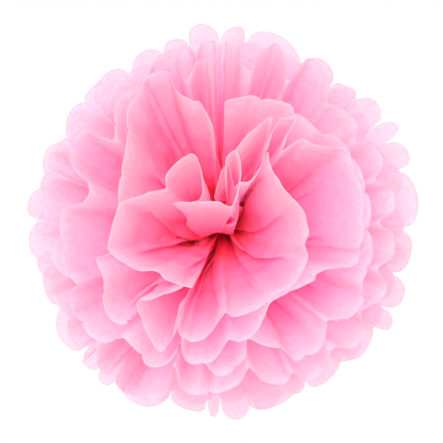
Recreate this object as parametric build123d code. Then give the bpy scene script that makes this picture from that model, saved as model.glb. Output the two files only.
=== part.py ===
"""Tissue-paper pom-pom ball: a stack of folded sheets, bound at the middle with wire and pulled open.

Millimetres and degrees. The origin is the middle of the wire tie, which is the centre of the ball.
The ball's pole points along -Y. The two halves of every sheet open towards -X and +X, and the
wire's stem stands along +Z, between them.
"""
import math
import os

from build123d import *

# the ball and its sheets
ball_radius = 125.0  # from the tie to the tip of a scallop, half the length of the folded strip
fold_width = 25.0  # width of one panel between two folds of a sheet
scallop_depth = 8.0  # how far the trimmed round end of a panel stands past its folds
seam_margin = 3.5  # least angle left open beside the seam between a left and a right half
sheet_angles = [22.0, 41.0, 56.0, 70.0, 84.0]  # opening of each sheet, from the pole to its rim
sheet_wall = 0.65  # thickness of the widest open sheet's solid at its rim
fold_rise = 0.8  # how far a fold stands out of the smooth cone, as an angle at the tie
rim_steps = 4  # straight edges along the end of one panel

# the bound middle of the stack
bundle_length = 14.0  # along the strip
bundle_radius = 6.0
pinch_radius = 4.6  # where the wire draws the paper in
pinch_length = 2.6
outermost_share = 0.96  # of the bundle's radius, to the flat of the outermost sheet

# the wire, bent once round the stack, twisted into a stem and ended in an eye
wire_diameter = 1.0
stem_diameter = 1.8  # two wires wound round each other
eye_opening = 8.0
eye_depth = 18.0  # from the ball's outside down to the middle of the eye

# clearances
petal_clearance = 0.8  # between the bundle and the inner ends of the petals
stem_clearance = 0.2  # least gap between the stem and the folds beside it
tie_clearance = 0.02  # between the wire's loop and the pinched paper

# worked out
panel_angle = 2 * math.degrees(math.asin(fold_width / 2 / ball_radius))
panel_count = int((180 - 2 * seam_margin) / panel_angle)
half_span = panel_count * panel_angle / 2
wall_angle = math.degrees(sheet_wall / ball_radius)
widest_polar = math.radians(sheet_angles[-1] + fold_rise)
seam_angle = math.acos(math.sin(widest_polar) * math.sin(math.radians(half_span)))
past_bundle = math.hypot(bundle_length / 2, bundle_radius) + petal_clearance
past_stem = (stem_diameter / 2 + stem_clearance) / math.sin(seam_angle)
petal_start = max(past_bundle, past_stem)
layer_count = 2 * len(sheet_angles)
wire_radius = wire_diameter / 2
loop_radius = pinch_radius + tie_clearance + wire_radius
eye_radius = eye_opening / 2 + wire_radius
eye_height = ball_radius - eye_depth


def direction(polar, azimuth):
    """Unit vector at an angle from the pole and round it, for the front right quarter."""
    p = math.radians(polar)
    a = math.radians(azimuth)
    return Vector(math.sin(p) * math.cos(a), -math.cos(p), math.sin(p) * math.sin(a))


def flat_face(points):
    return Face(Wire.make_polygon(points, close=True))


def fold_lines(polar, offset):
    """The folds of one wall of a half sheet, alternately in front of and behind its cone."""
    lines = []
    for i in range(panel_count + 1):
        rise = fold_rise if i % 2 else -fold_rise
        azimuth = i * panel_angle - half_span
        lines.append(direction(polar + rise + offset, azimuth))
    return lines


def rim_points(left, right):
    """Points along the round end of one panel, from fold to fold, in the panel's own plane."""
    points = []
    for i in range(rim_steps + 1):
        share = i / rim_steps
        reach = ball_radius - scallop_depth * (2 * share - 1) ** 2
        points.append((left * (1 - share) + right * share).normalized() * reach)
    return points


def strip_between(first, second):
    """Triangles that close the gap between two matching rows of points."""
    faces = []
    for i in range(len(first) - 1):
        faces.append(flat_face([first[i], first[i + 1], second[i + 1]]))
        faces.append(flat_face([first[i], second[i + 1], second[i]]))
    return faces


def half_sheet(polar):
    """One half of a sheet, front right: flat panels between folds that run out from the tie."""
    # the same paper fills a narrower cone with a thicker wall
    half_wall = wall_angle / math.sin(math.radians(polar)) / 2
    inner = fold_lines(polar, -half_wall)
    outer = fold_lines(polar, half_wall)
    faces = []
    for i in range(panel_count):
        inner_rim = rim_points(inner[i], inner[i + 1])
        outer_rim = rim_points(outer[i], outer[i + 1])
        inner_neck = [inner[i] * petal_start, inner[i + 1] * petal_start]
        outer_neck = [outer[i] * petal_start, outer[i + 1] * petal_start]
        faces.append(flat_face(inner_rim + inner_neck[::-1]))
        faces.append(flat_face(outer_rim + outer_neck[::-1]))
        faces += strip_between(inner_rim, outer_rim)
        faces += strip_between(inner_neck, outer_neck)
    fold_reach = ball_radius - scallop_depth
    for end in (0, panel_count):
        corners = [inner[end] * petal_start, inner[end] * fold_reach]
        corners += [outer[end] * fold_reach, outer[end] * petal_start]
        faces.append(flat_face(corners))
    return Solid(Shell(faces))


def middle_section(x, radius, low, high):
    """Four corners of one sheet's share of the round bundle, where it crosses the plane at x."""
    corners = []
    for share, side in ((low, -1), (low, 1), (high, 1), (high, -1)):
        half_width = radius * math.sqrt(1 - share**2)
        corners.append(Vector(x, share * radius, side * half_width))
    return corners


def sheet_middle(layer):
    """One sheet's middle in the bundle, drawn in with the others under the wire."""
    low = (2 * layer / layer_count - 1) * outermost_share
    high = (2 * (layer + 1) / layer_count - 1) * outermost_share
    stations = [(-bundle_length / 2, bundle_radius), (-pinch_length / 2, pinch_radius)]
    stations += [(pinch_length / 2, pinch_radius), (bundle_length / 2, bundle_radius)]
    sections = [middle_section(x, radius, low, high) for x, radius in stations]
    faces = [flat_face(sections[0]), flat_face(sections[-1])]
    for near, far in zip(sections, sections[1:]):
        for i in range(4):
            j = (i + 1) % 4
            faces.append(flat_face([near[i], near[j], far[j], far[i]]))
    return Solid(Shell(faces))


def wire_tie():
    loop = Rot(0, 90, 0) * Torus(loop_radius, wire_radius)
    stem_foot = loop_radius
    stem_top = eye_height - eye_radius
    stem = Cylinder(
        stem_diameter / 2,
        stem_top - stem_foot,
        align=(Align.CENTER, Align.CENTER, Align.MIN),
    )
    eye = Rot(90, 0, 0) * Torus(eye_radius, wire_radius)
    return loop + Pos(0, 0, stem_foot) * stem + Pos(0, 0, eye_height) * eye


def save(shape, node):
    export_step(shape, f"parts/{node}.step")


os.makedirs("parts", exist_ok=True)
for number, angle in enumerate(sheet_angles, start=1):
    front_right = half_sheet(angle)
    front_left = front_right.mirror(Plane.YZ)
    save(front_right, f"front_sheet_{number}_right")
    save(front_left, f"front_sheet_{number}_left")
    save(front_right.mirror(Plane.XZ), f"back_sheet_{number}_right")
    save(front_left.mirror(Plane.XZ), f"back_sheet_{number}_left")
    save(sheet_middle(number - 1), f"front_sheet_{number}_middle")
    save(sheet_middle(layer_count - number), f"back_sheet_{number}_middle")
save(wire_tie(), "wire_tie")
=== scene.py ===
import math
import random

import bmesh
import bpy
from mathutils import Matrix, Vector, noise


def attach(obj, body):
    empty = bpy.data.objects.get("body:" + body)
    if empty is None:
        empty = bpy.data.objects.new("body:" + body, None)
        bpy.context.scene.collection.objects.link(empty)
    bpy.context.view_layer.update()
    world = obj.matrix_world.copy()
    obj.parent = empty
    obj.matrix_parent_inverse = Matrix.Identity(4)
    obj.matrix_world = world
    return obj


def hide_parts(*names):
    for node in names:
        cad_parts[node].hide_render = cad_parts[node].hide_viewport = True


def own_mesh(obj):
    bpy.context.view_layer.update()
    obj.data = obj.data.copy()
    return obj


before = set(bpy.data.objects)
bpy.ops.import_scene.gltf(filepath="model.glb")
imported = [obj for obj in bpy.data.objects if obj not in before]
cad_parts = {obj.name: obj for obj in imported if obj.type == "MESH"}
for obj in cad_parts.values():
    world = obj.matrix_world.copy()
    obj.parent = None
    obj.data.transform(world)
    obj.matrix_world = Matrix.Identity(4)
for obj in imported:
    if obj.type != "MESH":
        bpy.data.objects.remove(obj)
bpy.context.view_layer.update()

mm = 0.001

ball = {
    "reach": 125,  # mm from the tie to the tip of a scallop
    "panels": 15,  # between the folds of one half sheet
    "opening": (22, 41, 56, 70, 84),  # degrees from the pole to each sheet's rim
    "layers": 10,  # sheets in the stack
    "bundleEnd": 7,  # mm from the tie to where the paper leaves the bundle
    "bundleRadius": 6,
    "pinchRadius": 4.6,
    "pinchEnd": 1.3,
    "outermost": 0.96,  # of the bundle's radius
}

paper = {
    "flat": (0.375, 0.115),  # metres, one half sheet from the bundle to the rim
    "trimmed": 0.0012,  # square metres cut away between the round ends
    "thickness": 0.0002,  # metres
    "columns": 16,  # of mesh to one panel
    "rows": 56,
    "scallop": 12.5,  # mm from the tip of a round end back to its folds
    "laidScallop": 1.2,  # the same on laid rims, for each sheet from the pole up to the third
    "crumple": 0.5,  # mm
    "fine": (1.3, 9, 2.3),  # how fast the crumple changes by panel, towards the rim and by seed
    "finer": (3.1, 21, 5.9),
}

# the camera's place and lens in mm, along whose lines of sight the front petals were laid
view = {"distance": 1000, "across": 1.0, "up": 1.6, "widthSeen": 288.4, "sensor": 36}


def petalPoint(right, up, reach=None):
    # where the line of sight through a place, in mm right of and above the tie, meets the ball
    reach = reach or ball["reach"]
    eye = Vector((0, -view["distance"], 0))
    along = Vector((right, 0, up)) - eye
    a, b, c = along.dot(along), 2 * eye.dot(along), eye.dot(eye) - reach * reach
    return eye + along * ((-b - math.sqrt(max(b * b - 4 * a * c, 0))) / (2 * a))


rimCurve = {"slope": 0.42, "pieces": 12}  # how round it runs through its points, and steps between two


def splineAt(points, i, f):
    # Catmull-Rom between points i and i + 1
    p1, p2 = points[i], points[i + 1]
    p0 = points[i - 1] if i else p1 * 2 - p2
    p3 = points[i + 2] if i + 2 < len(points) else p2 * 2 - p1
    m1, m2 = (p2 - p0) * rimCurve["slope"], (p3 - p1) * rimCurve["slope"]
    a, b = f * f * (3 - 2 * f), f * (1 - f) * (1 - f)
    return p1 * (1 - a) + p2 * a + m1 * b - m2 * (f * f * (1 - f))


def alongRim(laid, count):
    # places at equal steps of paper along a laid rim, each with how far down the list of points it is
    points = [petalPoint(*p) for p in laid]
    pieces = rimCurve["pieces"]
    dense = []
    for i in range(len(points) - 1):
        dense += [(splineAt(points, i, k / pieces), i + k / pieces) for k in range(pieces)]
    dense.append((points[-1], len(points) - 1))
    length = [0]
    for (place, _), (following, _) in zip(dense, dense[1:]):
        length.append(length[-1] + (following - place).length)
    places = []
    j = 0
    for k in range(count + 1):
        want = length[-1] * k / count
        while j < len(dense) - 2 and length[j + 1] < want:
            j += 1
        f = min((want - length[j]) / max(length[j + 1] - length[j], 1e-9), 1)
        (place, at), (following, nextAt) = dense[j], dense[j + 1]
        places.append((place.lerp(following, f), at * (1 - f) + nextAt * f))
    return places


def smooth(x):
    x = min(max(x, 0), 1)
    return x * x * (3 - 2 * x)


def eased(t, start, run):
    # 0 up to start, then smoothly up to 1 over the run
    return smooth((t - start) / run)


def direction(polar, azimuth):
    p, a = math.radians(polar), math.radians(azimuth)
    return Vector((math.sin(p) * math.cos(a), -math.cos(p), math.sin(p) * math.sin(a)))


# rims of the front sheets, mm right of and above the tie, and the reach where it isn't the ball's
laidRims = {
    ("front", 1, "left"): [
        (-18, -41), (-26, -39), (-35, -36), (-42, -31), (-51, -31), (-59, -28),
        (-71, -21), (-75, -15), (-70, -1), (-65, 13), (-55, 18), (-46, 21),
        (-35, 23), (-35, 31), (-29, 40), (-19, 46), (-14, 40), (-12, 25), (-14, 16, 112),
        (-23, 13, 104), (-31, 14, 120), (-22, 15), (-12, 15), (-1, 14), (8, 12), (12, 25), (13, 40),
        (10, 48), (5, 43), (4, 25),
    ],
    ("front", 1, "right"): [
        (-27, -61), (-26, -73), (-19, -78), (-8, -74), (-2, -65), (2, -59), (5, -57),
        (10, -59), (25, -53), (38, -45), (47, -40), (55, -28), (58, -20),
        (56, -13), (58, -5), (55, 8), (48, 18), (42, 23), (33, 38), (31, 47),
        (25, 34), (19, 28), (13, 27), (9, 24, 114), (6, 37, 112), (2, 34, 110), (-3, 20, 104),
    ],
    ("front", 2, "left"): [
        (-27, -55), (-31, -73), (-39, -83), (-48, -69), (-53, -52), (-46, -51), (-39, -48), (-23, -41),
        (-29, -36, 108), (-46, -42, 104), (-60, -55, 112), (-62, -65), (-72, -61), (-77, -48),
        (-76, -36), (-81, -23), (-76, -20), (-70, -17, 116), (-68, -4, 112), (-66, 12, 118), (-66, 22),
        (-64, 38), (-62, 49), (-61, 68), (-59, 77), (-55, 83), (-48, 95), (-35, 100),
        (-27, 87), (-20, 82), (-12, 79), (-5, 66), (-3, 59),
    ],
    ("front", 2, "right"): [
        (-25, -76), (-23, -89), (-13, -93), (-3, -89), (6, -77), (13, -77), (23, -72), (30, -63),
        (33, -51), (48, -44), (62, -37), (64, -33), (79, -29), (89, -25), (92, -20),
        (90, -16), (94, -5), (95, 9), (93, 23), (86, 42), (82, 49), (69, 51), (60, 52),
        (54, 55), (47, 51), (39, 47), (47, 61), (51, 70), (42, 70), (36, 64), (32, 55), (31, 48, 115),
        (34, 70), (23, 61), (17, 55), (11, 48),
    ],
    ("front", 3, "left"): [
        (-30, -87), (-37, -92), (-48, -92), (-57, -79), (-64, -73), (-78, -76), (-92, -66), (-98, -49),
        (-94, -39), (-103, -25), (-104, -7), (-102, 8), (-90, 13), (-85, 22), (-94, 34), (-98, 48),
        (-91, 59), (-80, 58), (-69, 55), (-70, 68), (-66, 83), (-55, 92), (-39, 107), (-29, 108),
        (-22, 95), (-16, 107), (-9, 110), (-4, 94),
    ],
    ("front", 3, "right"): [
        (-10, -92), (-2, -98), (7, -97), (16, -87), (19, -77), (31, -80), (42, -84), (51, -89),
        (64, -83), (72, -70), (70, -63), (85, -61), (96, -49), (93, -38), (99, -25),
        (100, -10), (99, 6), (97, 21), (92, 36), (86, 48), (77, 56), (64, 61), (52, 73), (46, 79),
        (33, 82), (21, 84), (12, 83), (3, 82),
    ],
    ("front", 4, "left"): [
        (-8, -110), (-18, -111), (-26, -105), (-30, -92), (-34, -107), (-40, -113), (-50, -112),
        (-60, -111), (-67, -105), (-68, -97), (-75, -98), (-80, -91), (-81, -80), (-92, -80),
        (-98, -72), (-97, -62), (-95, -56), (-104, -55), (-110, -46), (-107, -38), (-99, -35),
        (-106, -28), (-112, -17), (-113, -8), (-108, -1), (-114, 5), (-116, 17), (-110, 27),
        (-104, 32), (-112, 38), (-110, 46), (-102, 49), (-97, 54), (-96, 61), (-91, 68), (-83, 71),
        (-76, 72), (-76, 81), (-68, 91), (-57, 94), (-50, 92), (-46, 101), (-39, 109), (-30, 114),
        (-21, 116), (-16, 111), (-12, 118), (-3, 119),
    ],
    ("front", 4, "right"): [
        (-13, -100), (-4, -110), (13, -104), (19, -93), (28, -102), (42, -104), (47, -96), (58, -103),
        (70, -94), (74, -81), (87, -81), (96, -69), (92, -57), (104, -52), (110, -40), (103, -29),
        (113, -20), (113, -6), (104, 1), (114, 9), (112, 24), (101, 29), (107, 41), (99, 53), (88, 54),
        (89, 66), (79, 75), (69, 79), (70, 92), (66, 103), (58, 108), (50, 102), (45, 93), (43, 100),
        (42, 110), (36, 118), (27, 112), (21, 100), (15, 104), (12, 114), (4, 119),
    ],
}

# stretches of a laid rim, from one of its points to another, whose petals belly out, mm across and up
pulls = {("front", 1, "left"): ((19, 25.5, 0, -8), (22.5, 31, 4, 0))}

# how far the seam between a left and a right half strays from upright, in degrees at the foot and the top
seams = {
    "front": ((0, 0), (0, 0), (0, 0), (13, -4), (17, 3)),
    "back": ((0, 3), (6, -4), (-5, 5), (7, -7), (-9, 5)),
}

# round ends of the outermost front sheet from the foot up: degrees where each starts, and its reach in mm
outerLobes = {
    "left": ((-90, 125), (-86, 122), (-74, 128), (-57, 128), (-50, 126), (-43, 127), (-27, 121), (-13, 124),
             (1, 125), (12, 122), (28, 121), (43, 122), (59, 122), (72, 123), (80, 130), (90, 130)),
    "right": ((-90, 127), (-80, 123), (-62, 123), (-47, 125), (-34, 129), (-27, 128), (-16, 125), (-1, 129),
              (17, 130), (26, 131), (33, 128), (43, 122), (51, 125), (63, 128), (82, 128), (90, 128)),
}

# how a half sheet that isn't laid from a listed rim fans out
ruffled = {
    "stagger": 0.22,  # of a panel, by which the folds are set apart unevenly
    "reach": (116, 126),  # mm, of the round ends
    "lift": 3,  # degrees that single folds stand off the cone, either way
    "wander": 6,  # degrees that the whole rim strays off it, either way
    "pace": 0.55,  # of that straying, by panel
    "widest": 86,  # degrees from the pole, clear of the other face's sheets
}


def ruffledRim(face, number, side, seed, count, foot, top):
    # a half sheet that fans out by itself, for the front right quarter
    panels = ball["panels"]
    draw = random.Random(seed)
    lifts = [draw.uniform(-1, 1) for _ in range(panels + 1)]
    if face == "front" and number == 5:
        lobes = outerLobes[side]
    else:
        lobes = []
        for j in range(panels + 1):
            at = j + draw.uniform(-ruffled["stagger"], ruffled["stagger"])
            lobes.append((foot + (top - foot) * at / panels, draw.uniform(*ruffled["reach"])))
    places = []
    for k in range(count + 1):
        s = panels * k / count
        j = min(int(s), panels - 1)
        f = smooth(s - j)
        lift = lifts[j] * (1 - f) + lifts[j + 1] * f
        wander = noise.noise(Vector((s * ruffled["pace"], seed * 3.1, number * 7.7)))
        polar = ball["opening"][number - 1] + ruffled["lift"] * lift + ruffled["wander"] * wander
        azimuth = lobes[j][0] + (lobes[j + 1][0] - lobes[j][0]) * (s - j)
        near = min(max(s - 0.5, 0), panels - 1.001)
        f = smooth(near % 1)
        reach = lobes[int(near)][1] * (1 - f) + lobes[int(near) + 1][1] * f
        places.append((direction(min(polar, ruffled["widest"]), azimuth) * reach, s))
    return places


def scallopDrop(s, depth, skew):
    # how far a panel's round end falls short of its tip, which stands to one side where it is skewed
    across = abs(2 * (s - math.floor(s)) ** skew - 1)
    roundness = 2.2  # 2 is an ellipse, more is squarer
    return depth * (1 - math.sqrt(max(1 - across ** roundness, 0)))


def straightness(rim, k, reach):
    # 1 where the rim runs straight, less where it turns tightly
    low, high = max(k - reach, 0), min(k + reach, len(rim) - 1)
    path = sum((rim[i + 1][0] - rim[i][0]).length for i in range(low, high))
    return ((rim[high][0] - rim[low][0]).length / max(path, 1e-6)) ** 2


# per sheet from the pole, in mm: how far folds stand off near the tie, halfway, and at the rim,
# and how many panels they lean sideways halfway and at the rim
foldHeights = {
    "left": ((8.5, 4, 0.5, 1.8, 0), (7, 3.5, 0.8, 1.1, 0), (7, 3.5, 1.2, 0.9, 0), (8, 6, 2, 0.8, 0)),
    "right": ((11, 5, 0.5, 2.5, 0), (8, 3.5, 0.8, 1.1, 0), (9, 4.5, 1.2, 1.0, 0),
              (8, 6, 2, 0.8, 0)),
    "ruffled": ((10, 10, 8, 1.0, 0.15), (10, 10, 8, 1.0, 0.15), (9, 9, 7, 0.9, 0.15), (8, 8, 5, 0.8, 0.1),
                (3, 6.5, 4.5, 0.8, 0)),
}

# folds that lie flatter than the rest of their sheet
flatFolds = {("front", 1, "right"): {5: 0.15, 9: 0.5}}

# how a half sheet hangs, from the bundle at 0 to its rim at 1, with starts and runs as pairs
drape = {
    "leaves": (0.03, 0.14),  # where it leaves the bundle's direction for its fan's
    "fanStart": 8.5,  # mm from the tie, where that fan starts
    "aim": 0.15,  # how far the paper near the bundle points at its own piece of rim already
    "aimRun": 0.5,
    "lip": (0.3, -9, 0.8),  # innermost front sheet: mm across, mm along Y, share of the bundle's height
    "lipRun": 0.045,
    "nearTie": 0.2,  # by here the folds are as high as they get near the tie
    "halfway": 0.5,
    "rimRun": 0.45,
    "leans": (0.03, 0.17),  # where the folds start to lean sideways
    "leanEases": (0.25, 0.7),  # where they come round to their lean at the rim
    "ruffles": (0.4, 0.6),  # where the paper starts to ruffle
    "rufflePace": 0.5,  # by panel
    "crumples": 0.3,  # by here it is crumpled all over
    "pulled": 0.12,  # by here a pull is at its full
    "pullEases": (0.35, 0.65),  # where it fades again
    "sag": 3.0,  # mm, most halfway out
    "turn": 6,  # columns either way over which a tight turn flattens a laid rim's folds
    "foldSpread": (0.55, 1.25),  # least and most, of the height that foldHeights gives
    "skews": (0.65, 0.8, 1, 1, 1.25, 1.5),  # of a ruffled rim's round ends
}

# how sharply folds break, from 0 for waves to 1 for creases, and how far the rim ruffles in mm
foldLook = {"laid": {"crisp": 0.5, "ruffle": 2}, "ruffled": {"crisp": 0.8, "ruffle": 5}}


def foldHeight(heights, t):
    near, halfway, atRim = heights[:3]
    if t < drape["nearTie"]:
        return 1 + (near - 1) * smooth(t / drape["nearTie"])
    if t < drape["halfway"]:
        return near + (halfway - near) * eased(t, drape["nearTie"], drape["halfway"] - drape["nearTie"])
    return halfway + (atRim - halfway) * eased(t, drape["halfway"], drape["rimRun"])


def foldLean(heights, t):
    halfway, atRim = heights[3:]
    return (halfway + (atRim - halfway) * eased(t, *drape["leanEases"])) * eased(t, *drape["leans"])


def between(row, at):
    # a place and a normal part of the way from one column to the next
    at = min(max(at, 0), len(row) - 1.001)
    (a, m), (b, n) = row[int(at)], row[int(at) + 1]
    return a.lerp(b, at % 1), m.lerp(n, at % 1).normalized()


def layerShare(face, number):
    # where a sheet lies in the stack, from -1 at its front to 1 at its back
    layer = number - 1 if face == "front" else ball["layers"] - number
    return (2 * (layer + 0.5) / ball["layers"] - 1) * ball["outermost"]


def paperGrid(columns, rows, shadeTone=None):
    # flat paper, and for each of its points the column and how far along the rows it is
    bm = bmesh.new()
    uv = bm.loops.layers.uv.new("paper")
    bmesh.ops.create_grid(bm, x_segments=columns, y_segments=rows, size=0.5)
    paperAt = {v: (round((v.co.x + 0.5) * columns), v.co.y + 0.5) for v in bm.verts}
    for f in bm.faces:
        for loop in f.loops:
            k, t = paperAt[loop.vert]
            loop[uv].uv = (k / columns, t if shadeTone is None else shadeTone)
    return bm, paperAt


def sheetPlan(face, number, side, seed):
    # what one half sheet's shape depends on
    laid = laidRims.get((face, number, side))
    columns = ball["panels"] * paper["columns"]
    east = 1 if side == "right" else -1
    south = 1 if face == "front" else -1
    footSeam, topSeam = seams[face][number - 1]
    foot = -90 - footSeam * east
    top = 90 - topSeam * east
    if laid:
        rim = alongRim(laid, columns)
        scallop = paper["laidScallop"] * number if number < 4 else 0
        heights = foldHeights[side][number - 1]
    else:
        rim = ruffledRim(face, number, side, seed, columns, foot - 1, top + 1)
        rim = [(Vector((p.x * east, p.y * south, p.z)), s) for p, s in rim]
        scallop = paper["scallop"]
        heights = foldHeights["ruffled"][number - 1]
    draw = random.Random(seed + 50)
    folds = [(1 - 2 * (j % 2)) * draw.uniform(*drape["foldSpread"]) for j in range(ball["panels"] + 1)]
    for j, share in flatFolds.get((face, number, side), {}).items():
        folds[j] *= share
    return {
        "seed": seed, "number": number, "columns": columns, "layer": layerShare(face, number),
        "east": east, "south": south, "foot": foot, "top": top,
        "rim": rim, "scallop": scallop, "heights": heights, "folds": folds,
        "skews": [1 if laid else draw.choice(drape["skews"]) for _ in range(ball["panels"])],
        "clear": [straightness(rim, k, drape["turn"]) if laid else 1 for k in range(columns + 1)],
        "look": foldLook["laid" if laid else "ruffled"],
        "pulls": pulls.get((face, number, side), ()),
    }


def smoothPlace(plan, k, t):
    # where a point of the sheet would lie without its folds
    columns, panels, layer = plan["columns"], ball["panels"], plan["layer"]
    end = plan["rim"][k][0]
    across = min(panels * k / columns, panels - 1e-6)
    reach = end.length - scallopDrop(across, plan["scallop"], plan["skews"][int(across)])
    azimuth = plan["foot"] + (plan["top"] - plan["foot"]) * k / columns
    fan = direction(ball["opening"][plan["number"] - 1], azimuth)
    fan = Vector((fan.x * plan["east"], fan.y * plan["south"], fan.z))
    toward = fan.lerp(end.normalized(), smooth(drape["aim"] + t / drape["aimRun"])).normalized()
    halfWidth = ball["bundleRadius"] * math.sqrt(1 - layer * layer)
    y = layer * ball["bundleRadius"]
    neck = Vector((ball["bundleEnd"] * plan["east"], y, halfWidth * (2 * k / columns - 1)))
    if plan["number"] == 1:
        # the innermost sheet leans over the wire before it fans out
        out, ahead, height = drape["lip"]
        lip = Vector((out * plan["east"], ahead * plan["south"], height * neck.z))
        neck = neck.lerp(lip, smooth(t / drape["lipRun"]))
    start = drape["fanStart"]
    return neck.lerp(toward * (start + (reach - start) * t), eased(t, *drape["leaves"]))


def crumpleAt(scales, s, t, seed):
    byPanel, outwards, bySeed = scales
    return noise.noise(Vector((s * byPanel, t * outwards, seed * bySeed)))


def foldedPlace(plan, row, behind, k, t):
    # the same point with its fold, ruffle and crumple, from its row of smooth places
    s = ball["panels"] * k / plan["columns"]
    j = min(int(s), ball["panels"] - 1)
    crisp, folds, seed = plan["look"]["crisp"], plan["folds"], plan["seed"]
    f = crisp * (s - j) + (1 - crisp) * smooth(s - j)
    crease = (folds[j] * (1 - f) + folds[j + 1] * f) * plan["clear"][k] * min(s, ball["panels"] - s, 1)
    fold = crease * foldHeight(plan["heights"], t)
    lean = crease * foldLean(plan["heights"], t) * paper["columns"]
    # the added numbers only keep one noise apart from another
    ruffle = noise.noise(Vector((s * drape["rufflePace"] + 3, seed * 1.7, 8.8))) * eased(t, *drape["ruffles"])
    crumple = 2 * crumpleAt(paper["fine"], s, t, seed) + crumpleAt(paper["finer"], s, t, seed)
    crumple = paper["crumple"] * crumple * smooth(t / drape["crumples"])
    place, normal = between(row, k + lean)
    place = place + normal * (behind * fold + plan["look"]["ruffle"] * ruffle + crumple)
    place.z -= drape["sag"] * math.sin(math.pi * t)
    for start, end, across, up in plan["pulls"]:
        share = smooth(plan["rim"][k][1] - start) * smooth(end - plan["rim"][k][1])
        share *= smooth(t / drape["pulled"]) * (1 - eased(t, *drape["pullEases"]))
        place += Vector((across, 0, up)) * share
    return place


def halfSheet(face, number, side, seed):
    plan = sheetPlan(face, number, side, seed)
    bm, paperAt = paperGrid(plan["columns"], paper["rows"])
    for v, (k, t) in paperAt.items():
        v.co = smoothPlace(plan, k, t)
    bm.normal_update()
    behind = 1 if sum(v.normal.y for v in bm.verts) > 0 else -1
    rows = {}
    for v, (k, t) in paperAt.items():
        rows.setdefault(t, [None] * (plan["columns"] + 1))[k] = (v.co.copy(), v.normal.copy())
    for v, (k, t) in paperAt.items():
        v.co = foldedPlace(plan, rows[t], behind, k, t)
    bmesh.ops.scale(bm, vec=(mm, mm, mm), verts=bm.verts)
    for f in bm.faces:
        f.smooth = True
    piece = thickened(finished(bm, f"{face}_{side}_petals_{number}"))
    return piece


def finished(bm, name):
    mesh = bpy.data.meshes.new(name)
    bm.to_mesh(mesh)
    bm.free()
    piece = bpy.data.objects.new(name, mesh)
    bpy.context.scene.collection.objects.link(piece)
    return piece


def thickened(piece):
    wall = piece.modifiers.new("paper", "SOLIDIFY")
    wall.thickness = paper["thickness"]
    wall.offset = 0
    return piece


bound = {
    "rows": 20,
    "sunk": 0.2,  # mm inside the bundle's outside
    "fold": 0.09,  # of its radius, by which a fold stands off its layer
    "shadeTone": 0.02,  # place on the paper's run of painted shade, near its deep red at the tie
}


def boundMiddle(face, number):
    # the same sheet's folds where the wire draws them in
    layer = layerShare(face, number)
    columns = ball["panels"] * 2
    # the bound middle is painted with the deepest red of the painted shade, as it lies in the crevice at the
    # tie
    bm, paperAt = paperGrid(columns, bound["rows"], bound["shadeTone"])
    for v, (k, t) in paperAt.items():
        x = (t - 0.5) * 2 * ball["bundleEnd"]
        out = smooth((abs(x) - ball["pinchEnd"]) / (ball["bundleEnd"] - ball["pinchEnd"]))
        radius = ball["pinchRadius"] + (ball["bundleRadius"] - ball["pinchRadius"]) * out - bound["sunk"]
        zigzag = 1 - 2 * (k // 2 % 2) if k % 2 == 0 else 0
        halfWidth = radius * math.sqrt(1 - layer * layer)
        y = layer * radius + zigzag * bound["fold"] * radius
        v.co = Vector((x, y, halfWidth * (2 * k / columns - 1)))
    bmesh.ops.scale(bm, vec=(mm, mm, mm), verts=bm.verts)
    return thickened(finished(bm, f"{face}_bound_middle_{number}"))


wire = {
    "radius": 0.5,
    "loop": 5.12,  # mm, from the tie's middle to the middle of the wire
    "strand": 0.42,  # from the stem's middle to the middle of either wire
    "stemTop": 102,
    "turns": 15,
    "eyeHeight": 107,
    "eyeRadius": 4.5,
    "ringSides": 10,
    "ringSteps": 48,
    "strandSides": 8,
    "turnSteps": 16,
}


def wireRing(bm, centre, radius, axis):
    # a round wire spun into a full ring about the axis through centre
    start = bmesh.ops.create_circle(bm, segments=wire["ringSides"], radius=wire["radius"])["verts"]
    if axis == "X":
        bmesh.ops.rotate(bm, cent=(0, 0, 0), matrix=Matrix.Rotation(math.pi / 2, 3, "X"), verts=start)
        bmesh.ops.translate(bm, vec=(0, 0, radius), verts=start)
    else:
        bmesh.ops.translate(bm, vec=(radius, 0, 0), verts=start)
    bmesh.ops.translate(bm, vec=centre, verts=start)
    edges = [e for e in bm.edges if all(v in start for v in e.verts)]
    about = (1, 0, 0) if axis == "X" else (0, 1, 0)
    bmesh.ops.spin(bm, geom=start + edges, cent=centre, axis=about, angle=2 * math.pi,
                   steps=wire["ringSteps"], use_merge=True)


def tieWire():
    bm = bmesh.new()
    wireRing(bm, (0, 0, 0), wire["loop"], "X")
    wireRing(bm, (0, 0, wire["eyeHeight"]), wire["eyeRadius"], "Y")
    rise = wire["stemTop"] - wire["loop"]
    steps = wire["turns"] * wire["turnSteps"]
    for side in (1, -1):
        start = bmesh.ops.create_circle(bm, segments=wire["strandSides"], radius=wire["radius"])["verts"]
        bmesh.ops.translate(bm, vec=(side * wire["strand"], 0, wire["loop"]), verts=start)
        edges = [e for e in bm.edges if all(v in start for v in e.verts)]
        bmesh.ops.spin(bm, geom=start + edges, cent=(0, 0, 0), axis=(0, 0, 1), dvec=(0, 0, rise / steps),
                       angle=wire["turns"] * 2 * math.pi, steps=steps)
    bmesh.ops.holes_fill(bm, edges=[e for e in bm.edges if e.is_boundary])
    bmesh.ops.recalc_face_normals(bm, faces=bm.faces)
    bmesh.ops.scale(bm, vec=(mm, mm, mm), verts=bm.verts)
    for f in bm.faces:
        f.smooth = len(f.verts) == 4
    return finished(bm, "twisted_tie_wire")


# felted fibres as scale, detail and share of two clouds, and how rough both are
fibreClouds = {"layers": ((900, 3, 0.6), (260, 4, 0.4)), "roughness": 0.65}


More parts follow.
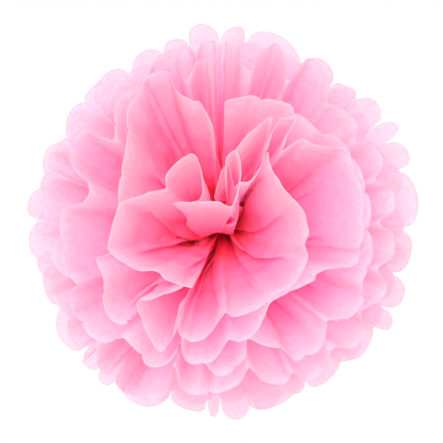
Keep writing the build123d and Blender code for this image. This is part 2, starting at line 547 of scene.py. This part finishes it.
def fibreGroup():
    # the tissue's cloudy, felted fibres: puts out a value about 1 that its colour is multiplied by
    group = bpy.data.node_groups.new("tissueFibres", "ShaderNodeTree")
    group.interface.new_socket("Strength", in_out="INPUT", socket_type="NodeSocketFloat")
    group.interface.new_socket("Cloud", in_out="OUTPUT", socket_type="NodeSocketFloat")
    add, link = group.nodes.new, group.links.new
    given, out = add("NodeGroupInput"), add("NodeGroupOutput")
    place = add("ShaderNodeTexCoord")
    total = None
    for scale, detail, share in fibreClouds["layers"]:
        cloud = add("ShaderNodeTexNoise")
        cloud.inputs["Scale"].default_value = scale
        cloud.inputs["Detail"].default_value = detail
        cloud.inputs["Roughness"].default_value = fibreClouds["roughness"]
        link(place.outputs["Object"], cloud.inputs["Vector"])
        part = add("ShaderNodeMath")
        part.operation = "MULTIPLY_ADD"
        part.inputs[1].default_value = share
        link(cloud.outputs["Fac"], part.inputs[0])
        if total:
            link(total.outputs[0], part.inputs[2])
        else:
            part.inputs[2].default_value = -0.5  # the clouds come out about 0
        total = part
    scaled = add("ShaderNodeMath")
    scaled.operation = "MULTIPLY_ADD"
    scaled.inputs[2].default_value = 1
    link(total.outputs[0], scaled.inputs[0])
    link(given.outputs["Strength"], scaled.inputs[1])
    link(scaled.outputs[0], out.inputs["Cloud"])
    return group


def rampNode(nt, stops):
    ramp = nt.nodes.new("ShaderNodeValToRGB")
    elements = ramp.color_ramp.elements
    for _ in stops[2:]:
        elements.new(0.5)
    for element, (at, colour) in zip(elements, stops):
        element.position = at
        element.color = (*colour, 1)
    return ramp


tissue = {
    "throughShare": 0.75,  # of the light that doesn't go straight through, sent on to the far side
    "roughness": 0.85,
    "specular": 0.1,
    "fibres": 0.8,
    "lightPassed": 0.65,  # straight through the sheet, on its way to the petals below
    "shadeColours": (  # painted shade: deep red at the tie, where the layers crowd, paling to pink towards the rim, which has its painted light; the tissue itself is one pink
        (0.0, (0.96, 0.015, 0.08)),
        (0.18, (1.0, 0.055, 0.19)),
        (0.42, (1.0, 0.43, 0.68)),
        (0.7, (1.0, 0.61, 0.75)),
        (0.92, (1.0, 0.77, 0.83)),
    ),
    "thins": (0.45, 0.92),  # between these it turns see-through
}

sheer = {
    # how much is seen straight through near the rim, the colour that takes on, and the rim's painted light, a
    # paler pink where light comes through the edge
    "innerTissue": (0.45, (1.0, 0.72, 0.82), (1.0, 0.84, 0.885)),
    # painted light: the outermost sheets' copy of the same tissue is more see-through with a paler tint, as
    # fewer layers lie behind them
    "outerTissue": (0.62, (1.0, 0.84, 0.91), (1.0, 0.82, 0.88)),
}


def tissuePaper(name, fibres):
    # pink tissue: part of the light comes back and the rest goes through
    # the rim's colour is painted light, paler than the paper where light comes through the edge
    seeThrough, tint, rimLight = sheer[name]
    m = bpy.data.materials.new(name)
    m.use_nodes = True
    nt = m.node_tree
    nt.nodes.clear()
    add, link = nt.nodes.new, nt.links.new
    out, mix = add("ShaderNodeOutputMaterial"), add("ShaderNodeMixShader")
    mix.inputs[0].default_value = tissue["throughShare"]
    back, through = add("ShaderNodeBsdfPrincipled"), add("ShaderNodeBsdfTranslucent")
    thinned, clear = add("ShaderNodeMixShader"), add("ShaderNodeBsdfTransparent")
    back.inputs["Roughness"].default_value = tissue["roughness"]
    back.inputs["Specular IOR Level"].default_value = tissue["specular"]
    along = add("ShaderNodeUVMap")
    along.uv_map = "paper"
    split = add("ShaderNodeSeparateXYZ")
    link(along.outputs[0], split.inputs[0])
    # the paper's colour runs along the petal as painted shade, darkest at the tie, with painted light at the
    # rim
    ramp = rampNode(nt, [*tissue["shadeColours"], (1.0, rimLight)])
    thinFrom, thinTo = tissue["thins"]
    thin = rampNode(nt, [(thinFrom, (0, 0, 0)), (thinTo, (seeThrough,) * 3)])
    link(split.outputs[1], thin.inputs[0])
    path, passing = add("ShaderNodeLightPath"), add("ShaderNodeMath")
    passing.operation = "MULTIPLY_ADD"
    passing.inputs[1].default_value = tissue["lightPassed"]
    link(path.outputs["Is Shadow Ray"], passing.inputs[0])
    link(thin.outputs[0], passing.inputs[2])
    clear.inputs["Color"].default_value = (*tint, 1)
    link(split.outputs[1], ramp.inputs[0])
    cloud = add("ShaderNodeGroup")
    cloud.node_tree = fibres
    cloud.inputs["Strength"].default_value = tissue["fibres"]
    tinted = add("ShaderNodeVectorMath")
    tinted.operation = "SCALE"
    link(ramp.outputs[0], tinted.inputs[0])
    link(cloud.outputs["Cloud"], tinted.inputs["Scale"])
    link(tinted.outputs[0], back.inputs["Base Color"])
    link(tinted.outputs[0], through.inputs["Color"])
    link(back.outputs[0], mix.inputs[1])
    link(through.outputs[0], mix.inputs[2])
    link(passing.outputs[0], thinned.inputs[0])
    link(mix.outputs[0], thinned.inputs[1])
    link(clear.outputs[0], thinned.inputs[2])
    link(thinned.outputs[0], out.inputs[0])
    return m


steelLook = {"colour": (0.62, 0.62, 0.64, 1), "drawnScale": 1500, "smoothest": 0.25, "roughest": 0.42}


def tieSteel():
    m = bpy.data.materials.new("tieSteel")
    m.use_nodes = True
    nt = m.node_tree
    steel = nt.nodes["Principled BSDF"]
    steel.inputs["Metallic"].default_value = 1.0
    steel.inputs["Base Color"].default_value = steelLook["colour"]
    drawn = nt.nodes.new("ShaderNodeTexNoise")
    drawn.inputs["Scale"].default_value = steelLook["drawnScale"]
    spread = rampNode(nt, [(0.3, (steelLook["smoothest"],) * 3), (0.7, (steelLook["roughest"],) * 3)])
    place = nt.nodes.new("ShaderNodeTexCoord")
    nt.links.new(place.outputs["Object"], drawn.inputs["Vector"])
    nt.links.new(drawn.outputs["Fac"], spread.inputs[0])
    nt.links.new(spread.outputs[0], steel.inputs["Roughness"])
    return m


fibres = fibreGroup()
innerTissue, outerTissue = tissuePaper("innerTissue", fibres), tissuePaper("outerTissue", fibres)
seed = 10  # one more for each half sheet
for face in ("front", "back"):
    for number, opening in enumerate(ball["opening"], start=1):
        middle = boundMiddle(face, number)
        middle.data.materials.append(innerTissue)
        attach(middle, "tie")
        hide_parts(f"{face}_sheet_{number}_middle")
        for side in ("left", "right"):
            seed += 1
            piece = halfSheet(face, number, side, seed)
            # the outermost sheets get the paler, more see-through copy of the tissue, painted light
            piece.data.materials.append(innerTissue if number < 5 else outerTissue)
            node = f"{face}_sheet_{number}_{side}"
            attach(piece, node + "_half")
            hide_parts(node)
            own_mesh(piece)
print("sheets made:", ball["layers"])
tie = tieWire()
tie.data.materials.append(tieSteel())
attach(tie, "tie")
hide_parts("wire_tie")
print("tie wire made, turns:", wire["turns"])

# metres and watts
room = {
    "lampPower": 22,
    "lampSize": 0.8,
    "lampAt": (-0.22, -1.25, 0.35),
    "floorSize": 1.2,
    "floorHeight": -0.45,
    "floorColour": (0.9, 0.9, 0.9, 1),
    "floorRoughness": 0.9,
}


def studio():
    scene = bpy.context.scene
    camera = bpy.data.cameras.new("camera")
    camera.sensor_width = view["sensor"]
    camera.lens = view["sensor"] * view["distance"] / view["widthSeen"]
    eye = bpy.data.objects.new("camera", camera)
    eye.location = (view["across"] * mm, -view["distance"] * mm, view["up"] * mm)
    eye.rotation_euler = (math.pi / 2, 0, 0)
    scene.collection.objects.link(eye)
    scene.camera = eye
    scene.view_settings.view_transform = "Standard"
    world = bpy.data.worlds.new("room")
    scene.world = world
    world.use_nodes = True
    nt = world.node_tree
    nt.nodes.clear()
    add, link = nt.nodes.new, nt.links.new
    out = add("ShaderNodeOutputWorld")
    mix = add("ShaderNodeMixShader")
    around = add("ShaderNodeBackground")
    around.inputs["Color"].default_value = (1, 1, 1, 1)
    around.inputs["Strength"].default_value = 1.0
    white = add("ShaderNodeBackground")
    white.inputs["Color"].default_value = (1, 1, 1, 1)
    white.inputs["Strength"].default_value = 1.0
    path = add("ShaderNodeLightPath")
    seen = path.outputs["Is Camera Ray"]
    for ray in ("Is Glossy Ray", "Is Transmission Ray"):
        either = add("ShaderNodeMath")
        either.operation = "MAXIMUM"
        link(seen, either.inputs[0])
        link(path.outputs[ray], either.inputs[1])
        seen = either.outputs[0]
    link(seen, mix.inputs[0])
    link(around.outputs[0], mix.inputs[1])
    link(white.outputs[0], mix.inputs[2])
    link(mix.outputs[0], out.inputs[0])
    lamp = bpy.data.lights.new("key", "AREA")
    lamp.energy = room["lampPower"]
    lamp.size = room["lampSize"]
    key = bpy.data.objects.new("key", lamp)
    key.location = room["lampAt"]
    key.rotation_euler = (Vector((0, 0, 0)) - key.location).to_track_quat("-Z", "Y").to_euler()
    scene.collection.objects.link(key)
    bm = bmesh.new()
    bmesh.ops.create_grid(bm, x_segments=1, y_segments=1, size=room["floorSize"])
    bmesh.ops.translate(bm, vec=(0, 0, room["floorHeight"]), verts=bm.verts)
    mesh = bpy.data.meshes.new("floor")
    bm.to_mesh(mesh)
    bm.free()
    floor = bpy.data.objects.new("floor", mesh)
    scene.collection.objects.link(floor)
    pale = bpy.data.materials.new("paleFloor")
    pale.use_nodes = True
    matt = pale.node_tree.nodes["Principled BSDF"]
    matt.inputs["Base Color"].default_value = room["floorColour"]
    matt.inputs["Roughness"].default_value = room["floorRoughness"]
    mesh.materials.append(pale)


studio()
print("camera, lamp and floor placed")
